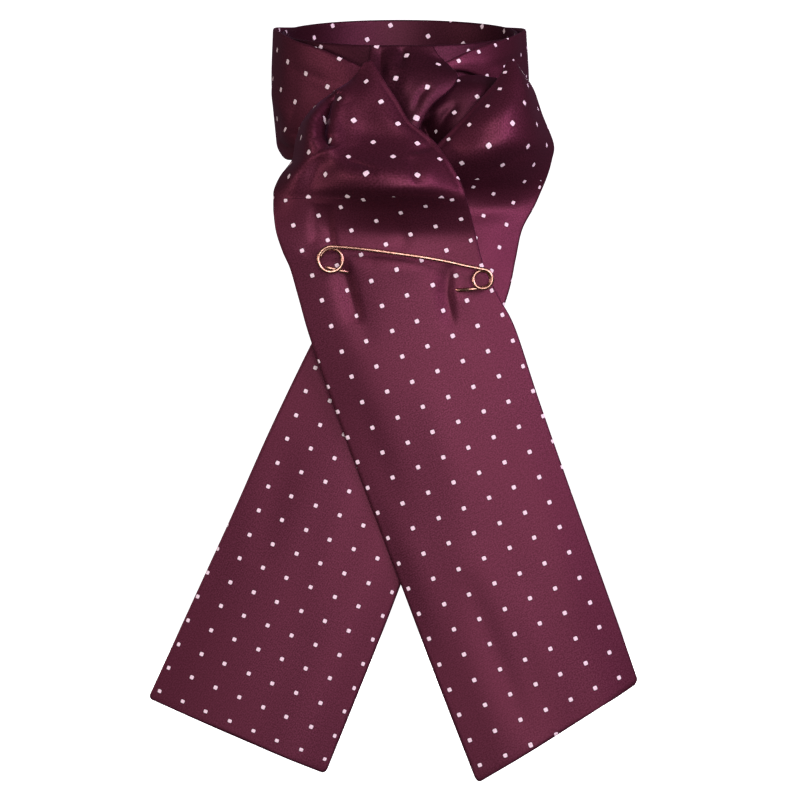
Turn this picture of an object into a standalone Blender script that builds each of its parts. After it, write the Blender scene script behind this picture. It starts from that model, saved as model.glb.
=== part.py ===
"""Stock tie: a doubled satin strip wound twice round a neck, tied, folded forward and pinned.

Metres, +Z up. The origin is the middle of the neck, level with the band's middle at the sides.
The front faces -Y and the wearer's left side is at +X. Tables are in millimetres, and a depth
is how far a point lies in front of the neck's axis.
"""
import math

import bmesh
import bpy
from mathutils import Vector

MM = 0.001

# The neck band: an inner layer round the neck, with the crossed ends wound over it
NECK_RADIUS = 58.0
NECK_WALL = 1.6
NECK_TOP = 30.8
NECK_BOTTOM = -22.0
NECK_TILT = 16.2
NECK_CROWN = 0.9
SIDE_JOIN = 96.0
SIDE_SEAM = 0.45

# The strip's doubled cloth, and its width where it hangs flat
CLOTH = 1.8
WRAP_WALL = 1.6
FOLD_INSET = 0.4
FOLD_LEFT_ROOM = 0.1
FOLD_RIGHT_ROOM = 1.3

# The stock pin's wire
WIRE_RADIUS = 0.7
WIRE_SIDES = 8
PIN_HOLE_ROOM = 0.45

NECK_COLOUR = (0.075, 0.018, 0.032, 1.0)
CLOTH_COLOUR = (0.125, 0.026, 0.050, 1.0)
GOLD_COLOUR = (0.80, 0.52, 0.30, 1.0)

# Left end, wound from the back round the left side into the knot.
# angle from the front, top, bottom, radius at the top, at the middle and at the bottom
WRAP_LEFT = [
    (-192, 45.5, -12.0, 61.0, 61.4, 61.0),
    (-180, 46.0, -12.5, 61.0, 62.0, 61.0),
    (-150, 44.0, -13.5, 61.0, 62.4, 61.0),
    (-120, 38.5, -18.0, 61.0, 62.8, 60.8),
    (-90, 33.0, -24.5, 62.0, 62.8, 60.2),
    (-68, 26.5, -34.0, 62.4, 62.2, 61.0),
    (-52, 20.0, -37.0, 62.8, 61.6, 64.5),
    (-38, 15.0, -34.0, 62.8, 61.3, 66.0),
    (-26, 9.0, -29.0, 62.4, 61.6, 65.5),
    (-17, 4.5, -24.0, 62.0, 62.0, 64.0),
    (-9, 0.0, -20.0, 61.6, 62.0, 62.5),
]

# Right end, out of the slot at the back, round the right side and tapering into the knot
WRAP_RIGHT = [
    (179.9, 36.0, -6.0, 60.8, 60.8, 60.8),
    (179.5, 36.0, -6.0, 62.6, 62.6, 62.6),
    (177.8, 36.5, -6.5, 64.3, 64.4, 64.3),
    (172, 39.0, -8.0, 64.6, 65.2, 64.6),
    (163, 43.0, -11.0, 63.8, 64.8, 63.6),
    (150, 44.0, -15.0, 61.2, 63.2, 61.2),
    (120, 38.5, -22.0, 61.0, 62.8, 60.8),
    (90, 32.5, -32.5, 61.6, 62.8, 59.0),
    (72, 27.0, -29.0, 61.0, 63.0, 60.6),
    (58, 22.5, -17.0, 61.2, 63.4, 61.6),
    (46, 18.5, -2.5, 61.4, 63.6, 61.8),
    (34, 14.0, 2.5, 61.4, 62.6, 61.6),
    (24, 8.8, 3.0, 61.4, 61.8, 61.4),
    (14, 4.0, -1.0, 61.2, 61.2, 61.2),
]
SLOT_HEIGHT = 44.0
SLOT_MIDDLE = 15.0
SLOT_REACH = (59.6, 70.0)
SLOT_LEFT = 1.4
SLOT_RIGHT = 3.2

# Front tail with the left flap, a row for each section from its apex down to its end.
# left edge x and z, right edge x and z, then the depth at each of TAIL_STATIONS
TAIL_STATIONS = (0.0, 0.1, 0.22, 0.4, 0.6, 0.8, 1.0)
FRONT_TAIL = [
    (-16.5, 5.0, -13.0, 6.0, 70, 70, 70, 70, 70, 70, 70),
    (-23.0, -3.5, -7.5, -4.0, 66, 69, 71, 73, 75, 76, 76),
    (-36.0, -11.5, -1.0, -14.5, 62, 73.5, 77, 78, 80, 81, 80),
    (-44.7, -21.0, 4.6, -24.5, 61, 80, 84, 81, 83, 86, 84),
    (-48.3, -30.5, 15.0, -33.5, 62, 84, 89, 85, 87, 90, 88),
    (-50.0, -40.0, 21.8, -43.0, 64, 85, 90, 93, 97, 98, 93),
    (-55.5, -48.0, 26.3, -51.0, 67, 84, 88, 101, 106, 104, 95),
    (-58.3, -54.5, 28.8, -56.5, 71, 83, 87, 100, 108, 106, 96),
    (-58.5, -58.5, 29.7, -59.5, 74, 82, 86, 95, 104, 102, 95),
    (-58.5, -62.0, 30.7, -62.5, 76, 82, 85, 91, 95, 94, 92),
    (-58.3, -66.5, 32.0, -66.5, 78, 82, 84, 87, 88, 88, 88),
    (-57.0, -75.0, 34.3, -75.0, 80, 82, 84, 86, 86, 86, 86),
    (-54.0, -84.0, 36.8, -85.0, 80, 82, 84, 87, 87, 86, 84),
    (-50.5, -92.0, 39.5, -93.0, 80, 82, 84, 87, 87, 85, 83),
    (-46.5, -106.0, 45.5, -105.0, 80, 82, 84, 86, 86, 85, 82),
    (-41.0, -125.0, 53.0, -119.0, 80, 82, 84, 85, 85, 84, 81),
    (-27.5, -163.0, 64.0, -152.0, 79, 81, 83, 84, 84, 83, 80),
    (-13.0, -202.0, 78.5, -193.0, 79, 81, 82, 83, 83, 82, 78),
    (1.5, -240.0, 91.5, -229.0, 79, 81, 82, 83, 82, 81, 76),
    (18.5, -285.0, 103.0, -261.0, 80, 81, 82, 82, 81, 79, 74),
    (35.5, -328.5, 110.5, -282.5, 80, 81, 82, 82, 80, 78, 72),
]

# Back tail with the right flap, the same way
BACK_STATIONS = (0.0, 0.2, 0.4, 0.6, 0.8, 1.0)
BACK_TAIL = [
    (50.0, 6.0, 53.5, 6.5, 61, 61, 61, 61, 61, 61),
    (46.5, -1.5, 58.0, 0.5, 69, 69, 68, 66, 61, 53),
    (39.5, -10.5, 62.7, -6.5, 76, 77.5, 76.5, 73, 65, 52),
    (29.5, -22.0, 66.8, -18.0, 81, 85.5, 86, 82.5, 71, 52),
    (17.5, -34.5, 72.2, -31.0, 82, 88, 92, 90, 78, 53),
    (9.5, -41.5, 71.4, -38.5, 79, 85, 90, 88, 77, 54),
    (2.5, -48.5, 69.4, -46.0, 76, 79, 82, 80, 72, 55),
    (-2.5, -55.0, 66.5, -53.5, 74, 74, 73, 71, 66, 56),
    (-7.0, -62.0, 63.0, -61.5, 73, 72, 70, 68, 64, 58),
    (-14.0, -73.0, 57.2, -72.5, 73, 73, 72, 71, 68, 62),
    (-21.0, -87.0, 54.0, -86.5, 74, 74, 74, 74, 72, 66),
    (-29.0, -103.5, 50.2, -103.0, 73, 74, 75, 75, 74, 70),
    (-41.5, -126.5, 40.0, -131.0, 71, 73, 75, 76, 76, 75),
    (-60.5, -166.0, 23.5, -175.0, 71, 73, 75, 76, 77, 76),
    (-79.0, -207.5, 6.5, -221.0, 70, 73, 75, 76, 77, 76),
    (-98.0, -249.0, -9.5, -263.0, 70, 73, 75, 76, 77, 75),
    (-117.0, -290.5, -34.5, -325.0, 70, 73, 75, 76, 77, 75),
]

# The knot's puffed middle: height, left and right x, then the depth at five stations
KNOT_STATIONS = (0.0, 0.25, 0.5, 0.75, 1.0)
KNOT_OVER = [
    (14.3, -14.0, 15.5, 60.1, 60.2, 60.2, 60.2, 60.1),
    (10.0, -14.5, 18.0, 61.5, 62.5, 63.0, 62.5, 61.0),
    (5.0, -14.5, 22.5, 64.0, 66.0, 67.0, 66.0, 60.8),
    (-1.0, -14.0, 27.0, 67.0, 70.0, 71.5, 71.0, 68.0),
    (-8.0, -10.0, 23.7, 69.0, 73.0, 75.0, 75.0, 72.0),
    (-15.0, -6.0, 15.8, 70.0, 74.0, 76.5, 77.0, 75.0),
    (-22.0, -3.0, 11.2, 70.5, 74.0, 76.5, 77.5, 76.0),
    (-29.0, -6.0, 8.5, 71.5, 75.0, 77.5, 78.0, 76.0),
    (-36.0, -8.0, 6.5, 72.0, 75.5, 78.0, 78.5, 76.0),
    (-44.0, -9.0, 4.0, 72.5, 75.5, 77.5, 77.5, 75.5),
]

# The turned-back stretches that lead from the knot to each flap's folded edge. Each row is
# level with a flap's row: x and depth at the knot, at the middle and short of the fold
FOLD_STATIONS = (0.0, 0.4, 0.85, 1.0)
FOLD_LEFT = [
    (1, -17.5, 64.0, -19.0, 63.6, -21.0, 63.2),
    (2, -17.5, 64.4, -24.0, 62.4, -32.0, 59.0),
    (3, -15.5, 65.6, -27.0, 62.4, -40.0, 57.2),
    (4, -12.0, 66.4, -28.0, 63.0, -43.0, 56.2),
    (5, -9.0, 66.8, -28.0, 65.0, -45.0, 58.2),
    (6, -6.0, 67.0, -28.0, 67.0, -49.5, 62.0),
]
FOLD_RIGHT = [
    (1, 29.5, 64.5, 38.0, 59.5, 50.0, 47.0),
    (2, 24.0, 68.0, 37.0, 68.5, 55.0, 53.0),
    (3, 15.0, 71.5, 33.0, 73.5, 58.0, 55.0),
    (4, 11.5, 71.5, 33.0, 75.5, 62.0, 58.0),
    (5, 9.0, 70.5, 33.0, 75.0, 61.0, 58.0),
]

# Hollows pressed into the front tail: middle x and z, half width, half height, depth.
# The first is the deep one inside the left flap
TAIL_CREASES = [
    (-32.5, -27.0, 4.0, 9.0, 11.0),
    (-22.5, -105.0, 4.5, 14.0, 1.7),
    (27.5, -108.0, 4.5, 14.0, 1.7),
    (-29.5, -75.0, 4.0, 8.0, 1.8),
]

KNOT_CREASES = [
    (-1.5, 5.0, 2.6, 8.0, 2.6),
    (10.5, -6.0, 2.4, 9.0, 2.0),
]

# The stock pin, seen from the front: its loop and coil, then x, z and depth along the wire
LOOP_CENTRE = (-31.5, -88.0)
LOOP_RADIUS = 5.5
LOOP_TURN = (80, 530)
LOOP_DEPTH = (89.4, 87.0)
COIL_CENTRE = (37.6, -97.0)
COIL_RADIUS = 4.2
COIL_TURN = (-90, 450)
COIL_DEPTH = (87.8, 91.0)
TURN_STEPS = 24
PIN_LEG = [
    (-34.0, -91.2, 85.6),
    (-29.5, -92.3, 85.4),
    (-25.5, -93.2, 85.2),
    (-20.0, -94.6, 82.0),
    (-8.0, -96.6, 81.6),
    (12.0, -99.6, 81.6),
    (22.0, -101.2, 81.4),
    (26.5, -101.7, 85.6),
    (31.0, -101.6, 87.6),
]
PIN_BAR = [
    (30.0, -91.0, 91.2),
    (22.0, -89.2, 91.6),
    (12.0, -87.4, 91.8),
    (-2.0, -85.4, 91.6),
    (-14.0, -83.8, 91.0),
    (-24.0, -82.7, 90.0),
]


def blend(before, start, end, after, share):
    """A point on the smooth curve from start to end, by the Catmull-Rom rule."""
    square = share * share
    cube = square * share
    return 0.5 * (2 * start + (end - before) * share + (2 * before - 5 * start + 4 * end - after) * square
                  + (3 * start - before - 3 * end + after) * cube)


def smooth_row(points, knots, wanted):
    """Reads points, placed at the rising values in knots, at each wanted value."""
    row = []
    last = len(points) - 1
    for value in wanted:
        span = 0
        while span < last - 1 and value > knots[span + 1]:
            span += 1
        share = (value - knots[span]) / (knots[span + 1] - knots[span])
        before = points[span - 1] if span > 0 else 2 * points[0] - points[1]
        after = points[span + 2] if span + 2 <= last else 2 * points[last] - points[last - 1]
        row.append(blend(before, points[span], points[span + 1], after, share))
    return row


def steps(count):
    return [step / count for step in range(count + 1)]


def smooth_sheet(rows, stations, across, along):
    """Fills rows of points in to a grid of across by along cells."""
    filled = [smooth_row(row, stations, steps(across)) for row in rows]
    knots = [index / (len(rows) - 1) for index in range(len(rows))]
    columns = [smooth_row([row[column] for row in filled], knots, steps(along))
               for column in range(across + 1)]
    return [[column[index] for column in columns] for index in range(along + 1)]


def normals_of(grid):
    """The unit normal at each point of a grid, on the side that its rows and columns turn to."""
    tall = len(grid)
    wide = len(grid[0])
    normals = []
    for i in range(tall):
        row = []
        for j in range(wide):
            down = grid[min(i + 1, tall - 1)][j] - grid[max(i - 1, 0)][j]
            right = grid[i][min(j + 1, wide - 1)] - grid[i][max(j - 1, 0)]
            row.append(down.cross(right).normalized())
        normals.append(row)
    return normals


def material(name, colour, roughness, metallic):
    made = bpy.data.materials.new(name)
    made.use_nodes = True
    shader = made.node_tree.nodes["Principled BSDF"]
    shader.inputs["Base Color"].default_value = colour
    shader.inputs["Roughness"].default_value = roughness
    shader.inputs["Metallic"].default_value = metallic
    made.diffuse_color = colour
    return made


def place(name, mesh, finish):
    mesh.materials.append(finish)
    obj = bpy.data.objects.new(name, mesh)
    bpy.context.scene.collection.objects.link(obj)
    return obj


def wall(name, grid, thickness, finish):
    """A closed wall of the given thickness with the grid as its middle surface."""
    normals = normals_of(grid)
    tall = len(grid)
    wide = len(grid[0])
    shape = bmesh.new()
    sides = []
    for offset in (thickness / 2, -thickness / 2):
        sides.append([[shape.verts.new((grid[i][j] + normals[i][j] * offset) * MM) for j in range(wide)]
                      for i in range(tall)])
    front, back = sides
    for i in range(tall - 1):
        for j in range(wide - 1):
            shape.faces.new((front[i][j], front[i + 1][j], front[i + 1][j + 1], front[i][j + 1]))
            shape.faces.new((back[i][j], back[i][j + 1], back[i + 1][j + 1], back[i + 1][j]))
    rim = [(i, 0) for i in range(tall)] + [(tall - 1, j) for j in range(1, wide)]
    rim += [(i, wide - 1) for i in range(tall - 2, -1, -1)] + [(0, j) for j in range(wide - 2, 0, -1)]
    for (i, j), (k, m) in zip(rim, rim[1:] + rim[:1]):
        shape.faces.new((front[i][j], back[i][j], back[k][m], front[k][m]))
    bmesh.ops.recalc_face_normals(shape, faces=shape.faces)
    mesh = bpy.data.meshes.new(name)
    shape.to_mesh(mesh)
    shape.free()
    mesh.shade_smooth()
    mesh.set_sharp_from_angle(angle=math.radians(50))
    return place(name, mesh, finish)


def ring_point(angle, radius, height):
    """A point round the neck, the angle in degrees from the front towards +X."""
    turn = math.radians(angle)
    return Vector((radius * math.sin(turn), -radius * math.cos(turn), height))


def neck_stretch(name, first, last, finish):
    """One stretch of the inner layer, crowned a little over its height."""
    grid = []
    for share in steps(26):
        angle = first + (last - first) * share
        lean = NECK_TILT * math.cos(math.radians(angle))
        row = []
        for level in steps(4):
            height = NECK_TOP - lean + (NECK_BOTTOM - NECK_TOP) * level
            radius = NECK_RADIUS + NECK_WALL / 2 + NECK_CROWN * (4 * level * (1 - level) - 1)
            row.append(ring_point(angle, radius, height))
        grid.append(row)
    return wall(name, grid, NECK_WALL, finish)


def wrap_grid(table, across, along):
    """Wound outer layer: a row for each angle, from its top edge to its bottom edge."""
    rows = []
    for angle, top, bottom, out_top, out_middle, out_bottom in table:
        middle = (top + bottom) / 2
        rows.append([ring_point(angle, out_top, top), ring_point(angle, out_middle, middle),
                     ring_point(angle, out_bottom, bottom)])
    return smooth_sheet(rows, (0.0, 0.5, 1.0), across, along)


def tail_rows(table, stations):
    rows = []
    for left_x, left_z, right_x, right_z, *depths in table:
        wide = right_x - left_x
        high = right_z - left_z
        rows.append([Vector((left_x + wide * share, -depth, left_z + high * share))
                     for share, depth in zip(stations, depths)])
    return rows


def press_creases(grid, creases):
    """Pushes soft hollows into a grid that faces the front."""
    for row in grid:
        for point in row:
            for middle_x, middle_z, wide, high, deep in creases:
                reach = ((point.x - middle_x) / wide) ** 2 + ((point.z - middle_z) / high) ** 2
                point.y += deep * math.exp(-reach)


def fold_rows(table, flap, edge, room):
    """Rows from the knot to just behind the flap's folded edge, edge being 0 or -1."""
    rows = []
    for index, knot_x, knot_depth, middle_x, middle_depth, near_x, near_depth in table:
        rim = flap[index][edge]
        inward = 1.0 if edge == 0 else -1.0
        rows.append([Vector((knot_x, -knot_depth, rim.z)), Vector((middle_x, -middle_depth, rim.z)),
                     Vector((near_x, -near_depth, rim.z)),
                     Vector((rim.x + FOLD_INSET * inward, rim.y + CLOTH + room, rim.z))])
    return rows


def front_points(table):
    return [Vector((x, -depth, z)) for x, z, depth in table]


def turned_wire(centre, radius, turn, depth):
    """Points round a loop of the wire, which moves forward or back by its own thickness as it turns."""
    points = []
    for share in steps(TURN_STEPS):
        angle = math.radians(turn[0] + (turn[1] - turn[0]) * share)
        points.append(Vector((centre[0] + radius * math.cos(angle), -depth[0] - (depth[1] - depth[0]) * share,
                              centre[1] + radius * math.sin(angle))))
    return points


def wire(name, points, radius, finish):
    """A round wire along the points, eight-sided, with filled ends."""
    shape = bmesh.new()
    rings = []
    side = Vector((0.0, 1.0, 0.0))
    for index, point in enumerate(points):
        ahead = points[min(index + 1, len(points) - 1)] - points[max(index - 1, 0)]
        ahead.normalize()
        side = (side - ahead * side.dot(ahead)).normalized()
        up = ahead.cross(side)
        turns = [math.radians(step * 360 / WIRE_SIDES) for step in range(WIRE_SIDES)]
        rings.append([shape.verts.new((point + (side * math.cos(turn) + up * math.sin(turn)) * radius) * MM)
                      for turn in turns])
    for ring, after in zip(rings, rings[1:]):
        for step in range(WIRE_SIDES):
            beside = (step + 1) % WIRE_SIDES
            shape.faces.new((ring[step], ring[beside], after[beside], after[step]))
    shape.faces.new(rings[0])
    shape.faces.new(rings[-1])
    bmesh.ops.recalc_face_normals(shape, faces=shape.faces)
    mesh = bpy.data.meshes.new(name)
    shape.to_mesh(mesh)
    shape.free()
    mesh.shade_smooth()
    mesh.set_sharp_from_angle(angle=math.radians(60))
    return place(name, mesh, finish)


def as_cutter(obj):
    obj.display_type = "WIRE"
    obj.hide_render = True
    return obj


def cut(target, cutter):
    hole = target.modifiers.new(cutter.name, "BOOLEAN")
    hole.operation = "DIFFERENCE"
    hole.solver = "EXACT"
    hole.object = cutter


def block(name, low, high, finish):
    mesh = bpy.data.meshes.new(name)
    shape = bmesh.new()
    bmesh.ops.create_cube(shape, size=1.0)
    for vert in shape.verts:
        vert.co = Vector([(a + (b - a) * (c + 0.5)) * MM for a, b, c in zip(low, high, vert.co)])
    shape.to_mesh(mesh)
    shape.free()
    return place(name, mesh, finish)


def main():
    for obj in list(bpy.data.objects):
        bpy.data.objects.remove(obj)
    lining = material("neck_cloth", NECK_COLOUR, 0.45, 0.0)
    cloth = material("tie_cloth", CLOTH_COLOUR, 0.38, 0.0)
    gold = material("pin_gold", GOLD_COLOUR, 0.2, 1.0)

    half_seam = math.degrees(SIDE_SEAM / 2 / NECK_RADIUS)
    neck_stretch("neck_front", -SIDE_JOIN + half_seam, SIDE_JOIN - half_seam, lining)
    neck_stretch("neck_back", SIDE_JOIN + half_seam, 360 - SIDE_JOIN - half_seam, lining)

    left = wall("wrap_left", wrap_grid(WRAP_LEFT, 6, 36), WRAP_WALL, cloth)
    slot = block("slot_cutter", (-SLOT_LEFT, SLOT_REACH[0], SLOT_MIDDLE - SLOT_HEIGHT / 2),
                 (SLOT_RIGHT, SLOT_REACH[1], SLOT_MIDDLE + SLOT_HEIGHT / 2), cloth)
    cut(left, as_cutter(slot))
    wall("wrap_right", wrap_grid(WRAP_RIGHT, 6, 42), WRAP_WALL, cloth)

    front_rows = tail_rows(FRONT_TAIL, TAIL_STATIONS)
    back_rows = tail_rows(BACK_TAIL, BACK_STATIONS)
    front_grid = smooth_sheet(front_rows, TAIL_STATIONS, 16, 48)
    press_creases(front_grid, TAIL_CREASES)
    front_tail = wall("tail_front", front_grid, CLOTH, cloth)
    wall("tail_back", smooth_sheet(back_rows, BACK_STATIONS, 12, 40), CLOTH, cloth)

    knot_rows = [[Vector((left_x + (right_x - left_x) * share, -depth, height))
                  for share, depth in zip(KNOT_STATIONS, depths)]
                 for height, left_x, right_x, *depths in KNOT_OVER]
    knot_grid = smooth_sheet(knot_rows, KNOT_STATIONS, 12, 20)
    press_creases(knot_grid, KNOT_CREASES)
    wall("knot_over", knot_grid, CLOTH, cloth)
    left_rows = fold_rows(FOLD_LEFT, front_rows, 0, FOLD_LEFT_ROOM)
    wall("fold_left", smooth_sheet(left_rows, FOLD_STATIONS, 10, 12), CLOTH, cloth)
    right_rows = fold_rows(FOLD_RIGHT, back_rows, -1, FOLD_RIGHT_ROOM)
    wall("fold_right", smooth_sheet(right_rows, FOLD_STATIONS, 10, 12), CLOTH, cloth)

    leg = front_points(PIN_LEG)
    coil = turned_wire(COIL_CENTRE, COIL_RADIUS, COIL_TURN, COIL_DEPTH)
    loop = turned_wire(LOOP_CENTRE, LOOP_RADIUS, LOOP_TURN, LOOP_DEPTH)
    wire("pin", leg + coil + front_points(PIN_BAR) + loop, WIRE_RADIUS, gold)
    room = wire("pin_cutter", leg, WIRE_RADIUS + PIN_HOLE_ROOM, gold)
    cut(front_tail, as_cutter(room))


main()
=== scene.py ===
import math

import bpy
import numpy as np
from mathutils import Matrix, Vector

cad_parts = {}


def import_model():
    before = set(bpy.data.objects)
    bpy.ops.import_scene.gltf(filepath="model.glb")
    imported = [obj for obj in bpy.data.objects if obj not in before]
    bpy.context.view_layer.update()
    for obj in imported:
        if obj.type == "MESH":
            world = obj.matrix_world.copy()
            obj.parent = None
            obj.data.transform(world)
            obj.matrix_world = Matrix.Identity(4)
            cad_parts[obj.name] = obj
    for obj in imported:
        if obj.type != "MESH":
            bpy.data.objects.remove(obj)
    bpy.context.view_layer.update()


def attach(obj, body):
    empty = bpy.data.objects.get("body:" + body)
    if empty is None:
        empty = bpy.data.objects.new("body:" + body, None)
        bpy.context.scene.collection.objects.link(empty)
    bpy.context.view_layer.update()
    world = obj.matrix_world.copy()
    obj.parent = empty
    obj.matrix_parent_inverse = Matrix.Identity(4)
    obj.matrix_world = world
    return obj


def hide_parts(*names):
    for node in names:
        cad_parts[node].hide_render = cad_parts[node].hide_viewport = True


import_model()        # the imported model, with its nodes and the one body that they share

# Lengths in the tables are millimetres, z is up, and a depth is how far a point lies before the neck's axis
MM = 0.001
BODY = "root"
FORWARD = np.array((0.0, -1.0, 0.0))

# Cloth: the strip's wall, the radius that rounds its edges, and how close its points lie
CLOTH = 1.8
BAND_WALL = 1.6
RIM = 1.5
RIM_STEPS = (0.0, 0.04, 0.16, 0.36, 0.65, 1.0)
POINT_STEP = 0.95

# The neck band's inner layer
NECK_RADIUS = 58.0
NECK_TOP = 30.8
NECK_BOTTOM = -22.0
NECK_TILT = 16.2
NECK_CROWN = 0.9
NECK_JOIN = (-2.0, 357.8)

# Left end, wound from the back round the left side into the knot.
# angle from the front, top, bottom, radius at the top, at the middle and at the bottom
WRAP_LEFT = [
    (-192, 45.5, -12.0, 61.0, 61.4, 61.0),
    (-180, 46.0, -12.5, 61.0, 62.0, 61.0),
    (-150, 44.0, -13.5, 61.0, 62.4, 61.0),
    (-120, 38.5, -18.0, 61.0, 62.8, 60.8),
    (-90, 33.0, -24.5, 62.0, 62.8, 60.2),
    (-68, 26.5, -34.0, 62.4, 62.2, 61.0),
    (-52, 20.0, -37.0, 62.8, 61.6, 64.5),
    (-38, 15.0, -34.0, 62.8, 61.3, 66.0),
    (-26, 9.0, -29.0, 62.4, 61.6, 65.5),
    (-17, 4.5, -24.0, 62.0, 62.0, 64.0),
    (-9, 0.0, -20.0, 61.6, 62.0, 62.5),
]

# Right end, out of the slot at the back, round the right side and tapering into the knot
WRAP_RIGHT = [
    (179.9, 36.0, -6.0, 60.8, 60.8, 60.8),
    (179.5, 36.0, -6.0, 62.6, 62.6, 62.6),
    (177.8, 36.5, -6.5, 64.3, 64.4, 64.3),
    (172, 39.0, -8.0, 64.6, 65.2, 64.6),
    (163, 43.0, -11.0, 63.8, 64.8, 63.6),
    (150, 44.0, -15.0, 61.2, 63.2, 61.2),
    (120, 38.5, -22.0, 61.0, 62.8, 60.8),
    (90, 32.5, -32.5, 61.6, 62.8, 59.0),
    (72, 27.0, -29.0, 61.0, 63.0, 60.6),
    (58, 22.5, -17.0, 61.2, 63.4, 61.6),
    (46, 18.5, -2.5, 61.4, 63.6, 61.8),
    (34, 14.0, 2.5, 61.4, 62.6, 61.6),
    (24, 8.8, 3.0, 61.4, 61.8, 61.4),
    (14, 4.0, -1.0, 61.2, 61.2, 61.2),
]

# Front tail with the left flap, a row for each section from its apex down to its end.
# left edge x and z, right edge x and z, then the depth at each of TAIL_STATIONS
TAIL_STATIONS = (0.0, 0.1, 0.22, 0.4, 0.6, 0.8, 1.0)
FRONT_TAIL = [
    (-16.5, 5.0, -13.0, 6.0, 70, 70, 70, 70, 70, 70, 70),
    (-23.0, -3.5, -7.5, -4.0, 66, 69, 71, 73, 75, 76, 76),
    (-36.0, -11.5, -1.0, -14.5, 62, 73.5, 77, 78, 80, 81, 80),
    (-44.7, -21.0, 4.6, -24.5, 61, 80, 84, 81, 83, 86, 84),
    (-48.3, -30.5, 15.0, -33.5, 62, 84, 89, 85, 87, 90, 88),
    (-50.0, -40.0, 21.8, -43.0, 64, 85, 90, 93, 97, 98, 93),
    (-55.5, -48.0, 26.3, -51.0, 67, 85, 88, 101, 106.5, 104.5, 95),
    (-58.3, -54.5, 28.8, -56.5, 71, 83, 87, 100, 108, 106, 96),
    (-58.5, -58.5, 29.7, -59.5, 74, 82, 86, 96, 105, 103, 96),
    (-58.5, -62.0, 30.7, -62.5, 76, 82, 85.5, 93, 99, 98, 94),
    (-58.3, -66.5, 32.0, -66.5, 78, 82, 85, 90, 93.5, 93, 91),
    (-57.0, -75.0, 34.3, -75.0, 80, 82, 84, 86, 87, 87, 86),
    (-54.0, -84.0, 36.8, -85.0, 80, 82, 84, 85.5, 86, 85.5, 84),
    (-50.5, -92.0, 39.5, -93.0, 80, 82, 84, 87, 87, 85, 83),
    (-46.5, -106.0, 45.5, -105.0, 80, 82, 84, 86, 86, 85, 82),
    (-41.0, -125.0, 53.0, -119.0, 80, 82, 84, 85, 85, 84, 81),
    (-27.5, -163.0, 64.0, -152.0, 79, 81, 83, 84, 84, 83, 80),
    (-13.0, -202.0, 78.5, -193.0, 79, 81, 82, 83, 83, 82, 78),
    (1.5, -240.0, 91.5, -229.0, 79, 81, 82, 83, 82, 81, 76),
    (18.5, -285.0, 103.0, -261.0, 80, 81, 82, 82, 81, 79, 74),
    (35.5, -328.5, 110.5, -282.5, 80, 81, 82, 82, 80, 78, 72),
]

# Back tail with the right flap, the same way
BACK_STATIONS = (0.0, 0.2, 0.4, 0.6, 0.8, 1.0)
BACK_TAIL = [
    (50.0, 6.0, 53.5, 6.5, 64, 64, 64, 64, 64, 64),
    (46.5, -1.5, 58.0, 0.5, 70, 71, 71.5, 71, 68, 58),
    (39.5, -10.5, 62.7, -6.5, 76, 78, 79, 78, 72, 56),
    (29.5, -22.0, 66.8, -18.0, 81, 86, 88, 86, 77, 55),
    (17.5, -34.5, 72.2, -31.0, 82, 88, 92, 90, 78, 53),
    (9.5, -41.5, 71.4, -38.5, 79, 85, 90, 88, 77, 54),
    (2.5, -48.5, 69.4, -46.0, 76, 79, 82, 80, 72, 55),
    (-2.5, -55.0, 66.5, -53.5, 74, 74, 73, 71, 66, 56),
    (-7.0, -62.0, 63.0, -61.5, 73, 72, 70, 68, 64, 58),
    (-14.0, -73.0, 57.2, -72.5, 73, 73, 72, 71, 68, 62),
    (-21.0, -87.0, 54.0, -86.5, 74, 74, 74, 74, 72, 66),
    (-29.0, -103.5, 50.2, -103.0, 73, 74, 75, 75, 74, 70),
    (-41.5, -126.5, 40.0, -131.0, 71, 73, 75, 76, 76, 75),
    (-60.5, -166.0, 23.5, -175.0, 71, 73, 75, 76, 77, 76),
    (-79.0, -207.5, 6.5, -221.0, 70, 73, 75, 76, 77, 76),
    (-98.0, -249.0, -9.5, -263.0, 70, 73, 75, 76, 77, 75),
    (-117.0, -290.5, -34.5, -325.0, 70, 73, 75, 76, 77, 75),
]
CORNER = 3.0
LIP_STEP = 0.03

# The knot's puffed middle: height, left and right x, then the depth at five stations
KNOT_STATIONS = (0.0, 0.25, 0.5, 0.75, 1.0)
KNOT_OVER = [
    (14.3, -14.0, 15.5, 60.1, 60.2, 60.2, 60.2, 60.1),
    (10.0, -14.5, 18.0, 61.5, 62.5, 63.0, 62.5, 61.0),
    (5.0, -14.5, 22.5, 64.0, 66.0, 67.0, 66.0, 60.8),
    (-1.0, -14.0, 27.0, 67.0, 70.0, 71.5, 71.0, 68.0),
    (-8.0, -10.0, 23.7, 69.0, 73.0, 75.0, 75.0, 72.0),
    (-15.0, -6.0, 15.8, 70.0, 74.0, 76.5, 77.0, 75.0),
    (-22.0, -3.0, 11.2, 70.5, 74.0, 76.5, 77.5, 76.0),
    (-29.0, -6.0, 8.5, 71.5, 75.0, 77.5, 78.0, 76.0),
    (-36.0, -8.0, 6.5, 72.0, 75.5, 78.0, 78.5, 76.0),
    (-44.0, -9.0, 4.0, 72.5, 75.5, 77.5, 77.5, 75.5),
]

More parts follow.
